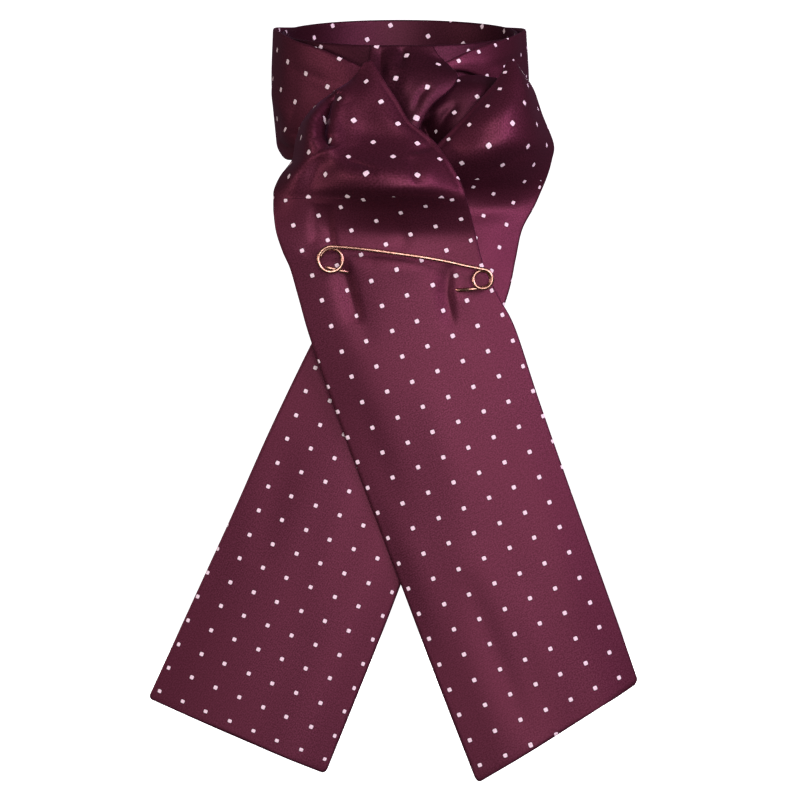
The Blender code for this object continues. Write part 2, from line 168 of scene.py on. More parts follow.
# The turned-back stretches that lead from the knot to each flap's folded edge. Each row is
# level with a flap's row: x and depth at the knot, at the middle and short of the fold
FOLD_STATIONS = (0.0, 0.4, 0.85, 1.0)
FOLD_LEFT = [
    (1, -17.5, 64.0, -19.0, 63.6, -21.0, 63.2),
    (2, -17.5, 64.4, -24.0, 62.4, -32.0, 59.0),
    (3, -15.5, 65.6, -27.0, 62.4, -40.0, 57.2),
    (4, -12.0, 66.4, -28.0, 63.0, -43.0, 56.2),
    (5, -9.0, 66.8, -28.0, 65.0, -45.0, 58.2),
    (6, -6.0, 67.0, -28.0, 67.0, -49.5, 62.0),
]
FOLD_RIGHT = [
    (1, 29.5, 60.5, 38.0, 55.5, 50.0, 47.0),
    (2, 17.0, 66.0, 37.0, 67.0, 55.0, 53.0),
    (3, 7.0, 66.0, 33.0, 72.0, 58.0, 55.0),
    (4, 3.0, 66.0, 33.0, 74.0, 62.0, 58.0),
    (5, 2.0, 66.0, 33.0, 74.0, 61.0, 58.0),
]

# Creases: half width on the left and on the right of the crease's way, how far the cloth goes back
# (or forward, below 0), then x and z along the way
FRONT_CREASES = [
    (1.8, 4.6, 14.0, (-28.5, -9.5), (-31.5, -15.0), (-33.5, -23.0), (-34.3, -31.0), (-31.5, -38.0)),
    (3.6, 4.0, -3.0, (-30.0, -11.0), (-37.5, -17.0), (-41.8, -24.0), (-39.8, -32.5), (-31.5, -40.5),
     (-22.0, -49.5)),
    (4.0, 4.0, -1.5, (-25.0, -16.0), (-22.0, -27.0), (-21.0, -37.0)),
    (1.2, 2.4, 1.8, (-24.7, -44.4), (-17.4, -46.2), (-9.0, -50.3)),
    (4.5, 1.0, 1.6, (3.5, -43.0), (5.0, -49.0), (6.5, -56.0)),
    (3.0, 1.2, 1.6, (4.0, -40.5), (9.0, -39.5), (16.0, -37.0)),
    (1.1, 1.1, 0.7, (-13.5, 4.0), (-9.5, -5.3), (-3.0, -15.8), (2.6, -25.8), (12.8, -34.8), (19.6, -44.2),
     (24.0, -51.6), (26.4, -56.8), (28.5, -63.0)),
    (6.0, 6.0, -1.2, (16.0, -40.0), (14.0, -48.0), (10.0, -54.0)),
    (2.4, 5.5, 2.6, (-27.0, -86.0), (-23.2, -99.0), (-18.5, -118.0)),
    (6.0, 6.0, 0.5, (-21.0, -104.0), (-14.0, -130.0)),
    (2.4, 4.5, 2.2, (22.5, -90.0), (21.5, -103.0), (24.5, -120.0)),
    (5.0, 5.0, 0.5, (28.0, -107.0), (32.0, -130.0)),
    (1.2, 4.6, 1.9, (-31.0, -62.0), (-31.5, -73.0), (-30.0, -85.0)),
    (6.0, 2.5, 1.2, (-37.5, -62.0), (-39.0, -71.0), (-38.5, -81.0)),
    (3.5, 3.5, 0.7, (0.0, -66.0), (0.5, -74.0), (2.0, -84.0)),
    (5.0, 5.0, 0.5, (-36.0, -74.0), (-44.0, -86.0)),
    (5.0, 5.0, -0.7, (-12.0, -88.0), (14.0, -92.0)),
    (8.0, 8.0, 0.5, (-20.0, -150.0), (4.0, -220.0)),
    (9.0, 9.0, -0.5, (10.0, -140.0), (34.0, -214.0)),
    (7.0, 7.0, 0.5, (46.0, -160.0), (74.0, -250.0)),
    (6.0, 6.0, 0.7, (30.0, -230.0), (60.0, -310.0)),
    (6.0, 6.0, -0.5, (54.0, -236.0), (80.0, -306.0)),
]
BACK_CREASES = [
    (1.1, 1.1, 0.6, (50.0, 0.0), (48.2, -3.2), (41.2, -12.2), (31.2, -23.7), (19.2, -36.2), (11.2, -43.2)),
    (3.0, 3.0, 1.0, (34.0, -50.0), (48.0, -42.0), (64.0, -36.0)),
    (5.0, 5.0, 0.8, (22.0, -66.0), (58.0, -62.0)),
    (4.0, 4.0, -0.8, (30.0, -30.0), (44.0, -24.0), (54.0, -14.0)),
    (8.0, 8.0, 0.5, (-50.0, -170.0), (-66.0, -230.0)),
    (8.0, 8.0, -0.4, (-20.0, -180.0), (-44.0, -262.0)),
]
KNOT_CREASES = [
    (2.0, 2.4, 2.2, (-9.0, 12.5), (-8.6, 4.0), (-8.0, -4.0)),
    (2.2, 2.2, 2.2, (1.0, 13.5), (1.4, 8.0), (0.0, 2.0)),
    (3.0, 3.0, -0.8, (-4.0, 12.0), (-4.5, -2.0)),
    (2.5, 2.0, 1.6, (14.0, -6.0), (9.0, -12.0), (6.5, -20.0)),
    (3.0, 3.0, -0.8, (5.0, 2.0), (1.0, -12.0)),
]
RIGHT_TURN_CREASES = [
    (1.8, 1.8, -1.5, (24.0, -12.0), (18.0, -17.0), (14.5, -25.0), (14.0, -32.0)),
    (1.8, 1.8, 1.6, (27.5, -14.0), (21.0, -21.0), (18.0, -29.0)),
    (4.2, 4.2, 11.0, (10.5, -21.0), (14.5, -30.0), (17.5, -39.0)),
]
# On the bands a crease lies at an angle and a height
LEFT_BAND_CREASES = [
    (1.6, 1.6, 1.6, (-75.0, -26.0), (-58.0, -31.0), (-40.0, -33.0)),
    (2.2, 2.2, -1.0, (-70.0, -21.5), (-45.0, -27.0)),
    (4.0, 4.0, 0.8, (-60.0, 8.0), (-24.0, -6.0)),
    (5.0, 5.0, -1.2, (-84.0, 2.0), (-70.0, -8.0), (-56.0, -16.0)),
    (4.0, 4.0, 0.7, (-140.0, 10.0), (-100.0, 2.0)),
    (4.0, 4.0, 0.9, (-150.0, -2.0), (-96.0, -20.0)),
]
RIGHT_BAND_CREASES = [
    (2.4, 2.4, 1.0, (82.0, 18.0), (40.0, 6.0)),
    (3.0, 3.0, -0.8, (76.0, 4.0), (44.0, 0.0)),
    (4.0, 4.0, 0.9, (120.0, 8.0), (92.0, -12.0)),
    (4.0, 4.0, 0.7, (150.0, 22.0), (110.0, 8.0)),
    (4.0, 4.0, 0.8, (160.0, 4.0), (120.0, -8.0)),
]
SOFT_BOTTOM = 2.0
SHARP_BOTTOM = 1.3
SHARP_FROM = 4.0
SOFT_FADE = 0.9
SHARP_FADE = 0.5

# The stock pin, seen from the front: its loop and coil, then x, z and depth along the wire
WIRE_RADIUS = 0.85
LOOP_CENTRE = (-31.5, -88.0)
LOOP_RADIUS = (5.9, 5.0)
LOOP_TURN = (80, 530)
LOOP_DEPTH = (89.4, 87.0)
COIL_CENTRE = (37.6, -97.0)
COIL_RADIUS = (3.8, 4.5)
COIL_TURN = (-90, 450)
COIL_DEPTH = (87.8, 91.0)
TURN_STEPS = 24
PIN_LEG = [
    (-34.0, -91.2, 85.6),
    (-29.5, -92.3, 85.4),
    (-25.5, -93.2, 85.2),
    (-20.0, -94.6, 82.0),
    (-8.0, -96.6, 81.6),
    (12.0, -99.6, 81.6),
    (22.0, -101.2, 81.4),
    (26.5, -101.7, 85.6),
    (31.0, -101.6, 87.6),
]
PIN_BAR = [
    (30.0, -91.0, 91.2),
    (22.0, -89.2, 91.6),
    (12.0, -87.4, 91.8),
    (-2.0, -85.4, 91.6),
    (-14.0, -83.8, 91.0),
    (-24.0, -82.7, 90.0),
]
WIRE_SIDES = 14
WIRE_STEP = 0.45

# The woven dots: a square repeat, and how it lies on each stretch: turned by some degrees, spread, and
# shifted by some millimetres. A tail's repeat starts anew above its lip, where the flap is folded over
DOT_REPEAT = 12.5
DOT_HALF = 0.93
WEAVE = {
    "neck_layer": (30, 0.85, (12, 7)),
    "left_band": (30, 0.85, (5, 11)),
    "right_band": (-25, 1.1, (1, 11)),
    "knot_puff": (10, 0.8, (10, 1)),
    "left_turn": (20, 1.0, (3, 2)),
    "right_turn": (-20, 1.0, (3, 2)),
    "front_flap": (-30, 0.85, (0, 0)),
    "front_tail": (-3, 1.0, (12, 12)),
    "back_flap": (30, 0.95, (6, 6)),
    "back_tail": (0, 1.05, (6, 12)),
}
FRONT_LIP = -60.0
BACK_LIP = -50.0

# Rough sizes that set how many points a piece has, and how often its bends are evened out
TAIL_WIDTH = 88.0
TAIL_ROUNDS = 12
KNOT_SIZE = (40.0, 62.0)
KNOT_ROUNDS = 8
FOLD_SIZE = (42.0, 48.0)
FOLD_ROUNDS = 4

# How far inside and behind a flap's edge its turned-back stretch ends
FOLD_INSET = 0.5
FOLD_BEHIND = 0.9

# Laying a piece out flat: the rows and columns of its coarse grid, and the rounds that ease it
FLAT_ROWS = 110
FLAT_COLUMNS = 17
FLAT_ROUNDS = 150


def read_curve(points, knots, wanted):
    """Reads points, placed at rising knots, at each wanted value, on one smooth curve."""
    points = np.asarray(points, float)
    knots = np.asarray(knots, float)
    wanted = np.asarray(wanted, float)
    shape = (-1,) + (1,) * (points.ndim - 1)
    slopes = np.empty_like(points)
    slopes[1:-1] = (points[2:] - points[:-2]) / (knots[2:] - knots[:-2]).reshape(shape)
    slopes[0] = (points[1] - points[0]) / (knots[1] - knots[0])
    slopes[-1] = (points[-1] - points[-2]) / (knots[-1] - knots[-2])
    span = np.clip(np.searchsorted(knots, wanted, side="right") - 1, 0, len(knots) - 2)
    wide = (knots[span + 1] - knots[span]).reshape(shape)
    share = ((wanted - knots[span]) / (knots[span + 1] - knots[span])).reshape(shape)
    square = share ** 2
    cube = share ** 3
    return ((2 * cube - 3 * square + 1) * points[span] + (cube - 2 * square + share) * wide * slopes[span]
            + (3 * square - 2 * cube) * points[span + 1] + (cube - square) * wide * slopes[span + 1])


def spaced(length):
    """Places from 0 to 1 along a length in millimetres, even but for the close ones that round its ends."""
    close = np.array(RIM_STEPS) * RIM / length
    count = max(4, round(length * (1 - 2 * close[-1]) / POINT_STEP))
    inner = np.linspace(close[-1], 1 - close[-1], count + 1)[1:-1]
    return np.concatenate([close, inner, 1 - close[::-1]])


def surface(rows, stations, across, along):
    """Fills rows of points in to a smooth grid."""
    rows = np.asarray(rows, float)
    filled = read_curve(rows.swapaxes(0, 1), stations, across).swapaxes(0, 1)
    return read_curve(filled, np.linspace(0, 1, len(rows)), along)


def soften(grid, rounds):
    """Evens out the bends inside a grid and leaves its edges where they are."""
    for _ in range(rounds):
        middle = grid[1:-1, 1:-1]
        middle += 0.125 * (grid[:-2, 1:-1] + grid[2:, 1:-1] + grid[1:-1, :-2] + grid[1:-1, 2:] - 4 * middle)
    return grid


def unit(vectors):
    return vectors / np.maximum(np.linalg.norm(vectors, axis=-1, keepdims=True), 1e-9)


def normals_of(grid):
    """Unit normals of a grid, on the side that its rows and columns turn to."""
    return unit(np.cross(np.gradient(grid, axis=0), np.gradient(grid, axis=1)))


def press(grid, plane, creases, outward):
    """Presses creases in to a grid; plane is each point's place on the creases' drawing."""
    total = np.zeros(grid.shape[:2])
    for left_width, right_width, depth, *path in creases:
        path = np.array(path, float)
        lengths = np.linalg.norm(np.diff(path, axis=0), axis=1)
        passed = np.concatenate([[0], np.cumsum(lengths)]) / lengths.sum()
        nearest = np.full(grid.shape[:2], np.inf)
        place = np.zeros(grid.shape[:2])
        width = np.ones(grid.shape[:2])
        for index, run in enumerate(np.diff(path, axis=0)):
            offset = plane - path[index]
            share = np.clip((offset @ run) / (run @ run), 0, 1)
            away = np.linalg.norm(offset - share[..., None] * run, axis=-1)
            on_left = run[0] * offset[..., 1] > run[1] * offset[..., 0]
            closer = away < nearest
            place = np.where(closer, passed[index] + share * (passed[index + 1] - passed[index]), place)
            width = np.where(closer, np.where(on_left, left_width, right_width), width)
            nearest = np.minimum(away, nearest)
        sharp = depth > SHARP_FROM
        bottom = SHARP_BOTTOM if sharp else SOFT_BOTTOM
        fade = np.clip(4 * place * (1 - place), 0, 1) ** (SHARP_FADE if sharp else SOFT_FADE)
        total += depth * fade * np.exp(-(nearest / width) ** bottom)
    return grid - outward * total[..., None]


def edge_distance(grid):
    """How far each point lies from its grid's nearest edge."""
    across = np.cumsum(np.linalg.norm(np.diff(grid, axis=1), axis=2), axis=1)
    along = np.cumsum(np.linalg.norm(np.diff(grid, axis=0), axis=2), axis=0)
    left = np.pad(across, ((0, 0), (1, 0)))
    top = np.pad(along, ((1, 0), (0, 0)))
    return np.minimum.reduce([left, left[:, -1:] - left, top, top[-1:] - top])


def lay_triangles(points, triangles):
    """Each triangle laid flat by itself, with the weight of its side across from each corner."""
    first = points[triangles[:, 1]] - points[triangles[:, 0]]
    second = points[triangles[:, 2]] - points[triangles[:, 0]]
    base = np.maximum(np.linalg.norm(first, axis=1), 1e-6)
    beside = (first * second).sum(1) / base
    height = np.sqrt(np.maximum((second ** 2).sum(1) - beside ** 2, 1e-6))
    local = np.zeros((len(triangles), 3, 2))
    local[:, 1, 0] = base
    local[:, 2, 0] = beside
    local[:, 2, 1] = height
    weights = []
    for corner in range(3):
        one = local[:, (corner + 1) % 3] - local[:, corner]
        other = local[:, (corner + 2) % 3] - local[:, corner]
        turned = np.maximum(np.abs(one[:, 0] * other[:, 1] - one[:, 1] * other[:, 0]), 1e-6)
        weights.append(np.clip((one * other).sum(1) / turned, 0.02, 20))
    return local, weights


def flatten(grid, across, along):
    """Lays a surface out flat with as little stretch as it allows. Down its columns is first."""
    rows = np.unique(np.linspace(0, len(along) - 1, FLAT_ROWS).round().astype(int))
    columns = np.unique(np.linspace(0, len(across) - 1, FLAT_COLUMNS).round().astype(int))
    coarse = grid[np.ix_(rows, columns)]
    tall, wide = coarse.shape[:2]
    index = np.arange(tall * wide).reshape(tall, wide)
    corners = [index[:-1, :-1], index[1:, :-1], index[1:, 1:], index[:-1, 1:]]
    triangles = np.concatenate([np.stack([corners[k] for k in pick], -1).reshape(-1, 3)
                                for pick in ((0, 1, 2), (0, 2, 3))])
    local, weights = lay_triangles(coarse.reshape(-1, 3), triangles)
    links = np.zeros((tall * wide, tall * wide))
    sides = [((k + 1) % 3, (k + 2) % 3, weights[k]) for k in range(3)]
    for a, b, weight in sides:
        one = triangles[:, a]
        other = triangles[:, b]
        np.add.at(links, (one, one), weight)
        np.add.at(links, (other, other), weight)
        np.add.at(links, (one, other), -weight)
        np.add.at(links, (other, one), -weight)
    links[0, 0] += 1.0
    solver = np.linalg.inv(links)
    down = np.pad(np.cumsum(np.linalg.norm(np.diff(coarse, axis=0), axis=2), axis=0), ((1, 0), (0, 0)))
    right = np.pad(np.cumsum(np.linalg.norm(np.diff(coarse, axis=1), axis=2), axis=1), ((0, 0), (1, 0)))
    flat = np.stack([down[:, -1:] + 0 * down, right - right[:, -1:]], -1).reshape(-1, 2)
    for _ in range(FLAT_ROUNDS):
        spin = np.zeros((len(triangles), 2, 2))
        for a, b, weight in sides:
            now = flat[triangles[:, a]] - flat[triangles[:, b]]
            own = local[:, a] - local[:, b]
            spin += weight[:, None, None] * now[:, :, None] * own[:, None, :]
        angle = np.arctan2(spin[:, 1, 0] - spin[:, 0, 1], spin[:, 0, 0] + spin[:, 1, 1])
        turn = np.array([[np.cos(angle), -np.sin(angle)], [np.sin(angle), np.cos(angle)]]).transpose(2, 0, 1)
        pull = np.zeros_like(flat)
        for a, b, weight in sides:
            own = weight[:, None] * np.einsum("tij,tj->ti", turn, local[:, a] - local[:, b])
            np.add.at(pull, triangles[:, a], own)
            np.add.at(pull, triangles[:, b], -own)
        flat = solver @ pull
    laid = flat.reshape(tall, wide, 2)
    laid = read_curve(laid.swapaxes(0, 1), across[columns], across).swapaxes(0, 1)
    return read_curve(laid, along[rows], along)


def settle(laid, start, end):
    """Turns a laid-out piece so that the line from start to end runs down, and puts its end at 0, 0.
    The answer is each point's distance to the right of the line and its distance above the end."""
    ahead = laid[end] - laid[start]
    ahead = ahead / np.linalg.norm(ahead)
    moved = laid - laid[end]
    return np.stack([moved @ np.array((-ahead[1], ahead[0])), -(moved @ ahead)], -1)


def woven(name, flat):
    """A piece's places on the woven repeat, from its places when laid flat."""
    angle, spread, shift = WEAVE[name]
    turn = math.radians(angle)
    u = flat[..., 0] * math.cos(turn) - flat[..., 1] * math.sin(turn)
    v = flat[..., 0] * math.sin(turn) + flat[..., 1] * math.cos(turn)
    return np.stack([u * spread + shift[0], v * spread + shift[1]], -1)


def quads(index):
    return np.stack([index[:-1, :-1], index[1:, :-1], index[1:, 1:], index[:-1, 1:]], -1).reshape(-1, 4)


def mesh_object(name, points, faces, finish, pattern=None):
    mesh = bpy.data.meshes.new(name)
    mesh.from_pydata((np.asarray(points) * MM).tolist(), [], [tuple(face) for face in np.asarray(faces).tolist()])
    if pattern is not None:
        layer = mesh.uv_layers.new(name="pattern")
        corners = np.empty(len(mesh.loops), dtype=np.int32)
        mesh.loops.foreach_get("vertex_index", corners)
        layer.data.foreach_set("uv", (np.asarray(pattern)[corners] * MM).astype(np.float32).ravel())
    mesh.shade_smooth()
    mesh.materials.append(finish)
    made = bpy.data.objects.new(name, mesh)
    bpy.context.scene.collection.objects.link(made)
    return made


def shell(name, grid, thickness, pattern, finish):
    """A closed sheet of cloth round a middle surface, with rounded edges."""
    tall, wide = grid.shape[:2]
    depth = np.clip(edge_distance(grid) / RIM, 0, 1)
    out = normals_of(grid) * (thickness / 2 * np.sqrt(1 - (1 - depth) ** 2))[..., None]
    count = tall * wide
    front = np.arange(count).reshape(tall, wide)
    back = front.copy()
    back[1:-1, 1:-1] = count + np.arange((tall - 2) * (wide - 2)).reshape(tall - 2, wide - 2)
    points = np.concatenate([(grid + out).reshape(-1, 3), (grid - out)[1:-1, 1:-1].reshape(-1, 3)])
    places = np.concatenate([pattern.reshape(-1, 2), pattern[1:-1, 1:-1].reshape(-1, 2)])
    faces = np.concatenate([quads(front), quads(back)[:, ::-1]])
    return mesh_object(name, points, faces, finish, places)


def on_body(piece, slot, *nodes):
    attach(piece, BODY)
    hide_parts(*nodes)
    return piece


class Board:
    """A material's nodes. Each call adds one node, feeds it, and gives back its output."""

    def __init__(self, name):
        self.material = bpy.data.materials.new(name)
        self.material.use_nodes = True
        self.nodes = self.material.node_tree.nodes
        self.links = self.material.node_tree.links
        self.shader = self.nodes["Principled BSDF"]

    def feed(self, socket, value):
        if isinstance(value, bpy.types.NodeSocket):
            self.links.new(value, socket)
        else:
            socket.default_value = value

    def add(self, kind, inputs, output=0, **settings):
        node = self.nodes.new(kind)
        for key, value in settings.items():
            setattr(node, key, value)
        for key, value in inputs.items():
            self.feed(node.inputs[key], value)
        return node.outputs[output]

    def math(self, operation, *values):
        return self.add("ShaderNodeMath", dict(enumerate(values)), operation=operation)

    def vector(self, operation, *values):
        return self.add("ShaderNodeVectorMath", dict(enumerate(values)), operation=operation)

    def scaled(self, vector, factor):
        return self.add("ShaderNodeVectorMath", {"Vector": vector, "Scale": factor}, operation="SCALE")

    def ramp(self, value, low, high, start=0.0, end=1.0):
        """Eases from start, at low, to end, at high."""
        return self.add("ShaderNodeMapRange",
                        {"Value": value, "From Min": low, "From Max": high, "To Min": start, "To Max": end},
                        interpolation_type="SMOOTHSTEP")

    def noise(self, vector, scale, detail):
        return self.add("ShaderNodeTexNoise", {"Vector": vector, "Scale": scale, "Detail": detail})

    def mix(self, share, first, second, blend="MIX"):
        node = self.nodes.new("ShaderNodeMix")
        node.data_type = "RGBA"
        node.blend_type = blend
        self.feed(node.inputs["Factor"], share)
        colours = [socket for socket in node.inputs if socket.type == "RGBA"]
        self.feed(colours[0], first)
        self.feed(colours[1], second)
        return [socket for socket in node.outputs if socket.type == "RGBA"][0]

    def set(self, **values):
        for key, value in values.items():
            self.feed(self.shader.inputs[key.replace("_", " ")], value)


SATIN = (0.103, 0.0175, 0.034)
SATIN_LIGHT = (0.136, 0.028, 0.055)
SATIN_DARK = (0.058, 0.009, 0.018)
# Painted shade: the cloth inside the neck band has its colours darkened to this share
INSIDE_PAINTED_SHADE = 0.55
# Painted shade: the knot and its turned-back stretches have their colours darkened to this share
FOLD_PAINTED_SHADE = 0.60
DOT_COLOUR = (0.93, 0.80, 0.80, 1.0)
DOT_THREAD = (0.76, 0.60, 0.62, 1.0)
# Painted shadow: the colour of the thin dark edge just outside each dot
DOT_PAINTED_SHADOW = (0.045, 0.008, 0.016, 1.0)


def satin(name, shade):
    """Maroon satin with small woven dots, each edged with painted shadow; shade scales all the cloth's colours
    down as painted shade, for cloth that lies inside the neck band or in the knot.
    """
    plain, light, dark = [(*[part * shade for part in colour], 1.0)
                          for colour in (SATIN, SATIN_LIGHT, SATIN_DARK)]
    board = Board(name)
    place = board.add("ShaderNodeUVMap", {}, uv_map="pattern")
    cell = board.scaled(place, 1 / (DOT_REPEAT * MM))
    lot = board.add("ShaderNodeTexWhiteNoise", {"Vector": board.vector("FLOOR", cell)}, output="Color",
                    noise_dimensions="2D")
    wander = board.scaled(board.vector("SUBTRACT", lot, (0.5, 0.5, 0.5)), 0.035)
    inside = board.vector("SUBTRACT", board.vector("FRACTION", cell), (0.5, 0.5, 0.5))
    offset = board.vector("ABSOLUTE", board.vector("SUBTRACT", inside, wander))
    parts = board.nodes.new("ShaderNodeSeparateXYZ")
    board.feed(parts.inputs[0], offset)
    fourth = board.math("ADD", board.math("POWER", parts.outputs[0], 4.0),
                        board.math("POWER", parts.outputs[1], 4.0))
    away = board.math("POWER", fourth, 0.25)
    half = DOT_HALF / DOT_REPEAT
    dot = board.ramp(away, half * 1.12, half * 0.9)
    # Painted shadow: a thin dark edge just outside each dot, as if the raised dot shaded the cloth beside it
    painted_dot_shadow = board.ramp(away, half * 1.55, half * 1.05, 0.0, 0.6)

    speckle = board.noise(place, 1500.0, 2.0)
    cloud = board.noise(place, 14.0, 2.0)
    thread = board.add("ShaderNodeTexWave", {"Vector": place, "Scale": 620.0, "Distortion": 1.5,
                                             "Detail": 1.0, "Detail Scale": 2.0}, output="Fac",
                       wave_type="BANDS", bands_direction="DIAGONAL")
    tone = board.mix(board.ramp(speckle, 0.3, 0.7), dark, light)
    tone = board.mix(board.ramp(cloud, 0.35, 0.7, 0.25, 0.55), tone, plain)
    # Darkens the cloth round each dot with the painted shadow colour
    tone = board.mix(painted_dot_shadow, tone, DOT_PAINTED_SHADOW)
    white = board.mix(board.ramp(speckle, 0.3, 0.7), DOT_THREAD, DOT_COLOUR)
    colour = board.mix(dot, tone, white)
    lift = board.math("ADD", board.math("MULTIPLY", thread, 0.25), board.math("MULTIPLY", speckle, 0.45))
    height = board.math("ADD", lift, dot)
    bump = board.add("ShaderNodeBump", {"Height": height, "Strength": 0.35, "Distance": 0.00016})
    board.set(Base_Color=colour, Roughness=board.ramp(dot, 0.0, 1.0, 0.52, 0.7), Normal=bump,
              Metallic=board.ramp(dot, 0.0, 1.0, 0.70, 0.0), Specular_IOR_Level=0.25,
              Sheen_Weight=0.05, Sheen_Roughness=0.35, Sheen_Tint=(0.62, 0.30, 0.62, 1.0))
    return board.material


def rose_gold():
    """Polished rose gold wire, with the faint lines of its drawing and handling."""
    board = Board("rose_gold")
    place = board.add("ShaderNodeTexCoord", {}, output="Object")
    wear = board.noise(place, 900.0, 3.0)
    colour = board.mix(board.ramp(wear, 0.3, 0.75), (0.55, 0.32, 0.23, 1.0), (0.36, 0.19, 0.13, 1.0))
    bump = board.add("ShaderNodeBump", {"Height": wear, "Strength": 0.12, "Distance": 0.0001})
    board.set(Base_Color=colour, Metallic=1.0, Roughness=board.ramp(wear, 0.2, 0.8, 0.22, 0.34), Normal=bump)
    return board.material


def ring_point(angle, radius, height):
    """Points round the neck, the angle in degrees from the front towards +X."""
    turn = np.radians(angle)
    return np.stack([radius * np.sin(turn), -radius * np.cos(turn), height + 0 * turn], -1)


def outward_of(grid):
    return unit(grid * np.array((1.0, 1.0, 0.0)))


def band_plane(grid, angles):
    """Angle and height of each point of a band, for its creases."""
    return np.stack([np.repeat(angles[:, None], grid.shape[1], 1), grid[..., 2]], -1)


def neck_band(finish):
    """The inner layer, once round the neck, with a butted seam behind the knot."""
    height = NECK_TOP - NECK_BOTTOM
    levels = spaced(height)
    angles = NECK_JOIN[0] + (NECK_JOIN[1] - NECK_JOIN[0]) * spaced(2 * math.pi * NECK_RADIUS)
    lean = NECK_TILT * np.cos(np.radians(angles))
    tops = (NECK_TOP - lean)[:, None] - height * levels[None, :]
    radius = NECK_RADIUS + BAND_WALL / 2 + NECK_CROWN * (4 * levels * (1 - levels) - 1)
    grid = ring_point(angles[:, None] + 0 * tops, radius[None, :] + 0 * tops, tops)
    flat = np.stack([np.radians(angles)[:, None] * NECK_RADIUS + 0 * tops, tops], -1)
    return shell("neck_layer", grid, BAND_WALL, woven("neck_layer", flat), finish)


def wound_band(name, table, creases, finish):
    """An outer layer of the neck band, wound from the back in to the knot."""
    table = np.array(table, float)
    middle = (table[:, 1] + table[:, 2]) / 2
    rows = np.stack([ring_point(table[:, 0], table[:, 3], table[:, 1]),
                     ring_point(table[:, 0], table[:, 4], middle),
                     ring_point(table[:, 0], table[:, 5], table[:, 2])], 1)
    length = np.radians(abs(table[-1, 0] - table[0, 0])) * table[:, 4].mean()
    width = (table[:, 1] - table[:, 2]).mean()
    along = spaced(length)
    grid = surface(rows, (0.0, 0.5, 1.0), spaced(width), along)
    angles = read_curve(table[:, 0], np.linspace(0, 1, len(table)), along)
    plane = band_plane(grid, angles)
    scaled = plane * np.array((math.radians(1) * NECK_RADIUS, 1.0))
    lines = [(*measures, *[(math.radians(a) * NECK_RADIUS, height) for a, height in way])
             for *measures, way in [(*crease[:3], crease[3:]) for crease in creases]]
    grid = press(grid, scaled, lines, outward_of(grid))
    return shell(name, grid, BAND_WALL, woven(name, scaled), finish)


def tail_rows(table, stations):
    table = np.array(table, float)
    share = np.array(stations)[None, :]
    x = table[:, 0:1] + (table[:, 2:3] - table[:, 0:1]) * share
    z = table[:, 1:2] + (table[:, 3:4] - table[:, 1:2]) * share
    return np.stack([x, -table[:, 4:], z], -1)


def round_corners(grid):
    """Draws in the last rows of a tail, so that its corners are round."""
    above = np.linalg.norm(grid[-1].mean(0) - grid.mean(1), axis=-1)
    for row, height in zip(grid, above):
        if height < CORNER:
            inset = CORNER - math.sqrt(CORNER ** 2 - (CORNER - height) ** 2)
            width = np.linalg.norm(row[-1] - row[0])
            share = np.linspace(0, 1, len(row)) if width == 0 else np.linalg.norm(row - row[0], axis=-1) / width
            row += (row[-1] - row[0]) * (inset / width * (1 - 2 * share))[:, None]
    return grid


def hung_tail(name, table, stations, creases, lip, finish):
    """A tail with its flap, whose cloth is folded over at the height of the lip."""
    rows = tail_rows(table, stations)
    across = spaced(TAIL_WIDTH)
    along = spaced(np.linalg.norm(np.diff(rows.mean(1), axis=0), axis=-1).sum())
    grid = soften(surface(rows, stations, across, along), TAIL_ROUNDS)
    grid = round_corners(grid)
    grid = press(grid, grid[..., (0, 2)], creases, FORWARD)
    laid = settle(flatten(grid, across, along), (len(along) // 2, -1), (-1, -1))
    middle = grid.shape[1] // 2
    turned = int((grid[:, middle, 2] > lip).sum())
    grid = np.insert(grid, turned, grid[turned - 1] + (grid[turned] - grid[turned - 1]) * LIP_STEP, axis=0)
    laid = np.insert(laid, turned, laid[turned - 1], axis=0)
    flap = woven(name.replace("tail", "flap"), laid[:turned] - laid[turned - 1, middle])
    pattern = np.concatenate([flap, woven(name, laid[turned:])])
    return shell(name, grid, CLOTH, pattern, finish)


def knot_cloth(finish):
    """The puffed middle of the knot."""
    rows = [[(left + (right - left) * share, -depth, height)
             for share, depth in zip(KNOT_STATIONS, depths)]
            for height, left, right, *depths in KNOT_OVER]
    across = spaced(KNOT_SIZE[0])
    along = spaced(KNOT_SIZE[1])
    grid = soften(surface(rows, KNOT_STATIONS, across, along), KNOT_ROUNDS)
    grid = press(grid, grid[..., (0, 2)], KNOT_CREASES, FORWARD)
    laid = settle(flatten(grid, across, along), (0, -1), (-1, -1))
    return shell("knot_puff", grid, CLOTH, woven("knot_puff", laid), finish)


def turned_back(name, table, flap_rows, edge, creases, finish):
    """The stretch from the knot to a flap's folded edge, which it joins."""
    rows = []
    for index, knot_x, knot_depth, middle_x, middle_depth, near_x, near_depth in table:
        rim = flap_rows[index][edge]
        inward = 1.0 if edge == 0 else -1.0
        rows.append([(knot_x, -knot_depth, rim[2]), (middle_x, -middle_depth, rim[2]),
                     (near_x, -near_depth, rim[2]), (rim[0] + FOLD_INSET * inward, rim[1] + FOLD_BEHIND, rim[2])])
    across = spaced(FOLD_SIZE[0])
    along = spaced(FOLD_SIZE[1])
    grid = soften(surface(rows, FOLD_STATIONS, across, along), FOLD_ROUNDS)
    grid = press(grid, grid[..., (0, 2)], creases, FORWARD)
    laid = settle(flatten(grid, across, along), (0, -1), (-1, -1))
    return shell(name, grid, CLOTH, woven(name, laid), finish)


def ring_of_wire(centre, radius, turn, depth):
    """Points round a loop of the wire, which moves forward or back by its own thickness as it turns."""
    share = np.linspace(0, 1, TURN_STEPS + 1)
    angle = np.radians(turn[0] + (turn[1] - turn[0]) * share)
    reach = radius[0] + (radius[1] - radius[0]) * share
    return np.stack([centre[0] + reach * np.cos(angle), -depth[0] - (depth[1] - depth[0]) * share,
                     centre[1] + reach * np.sin(angle)], -1)


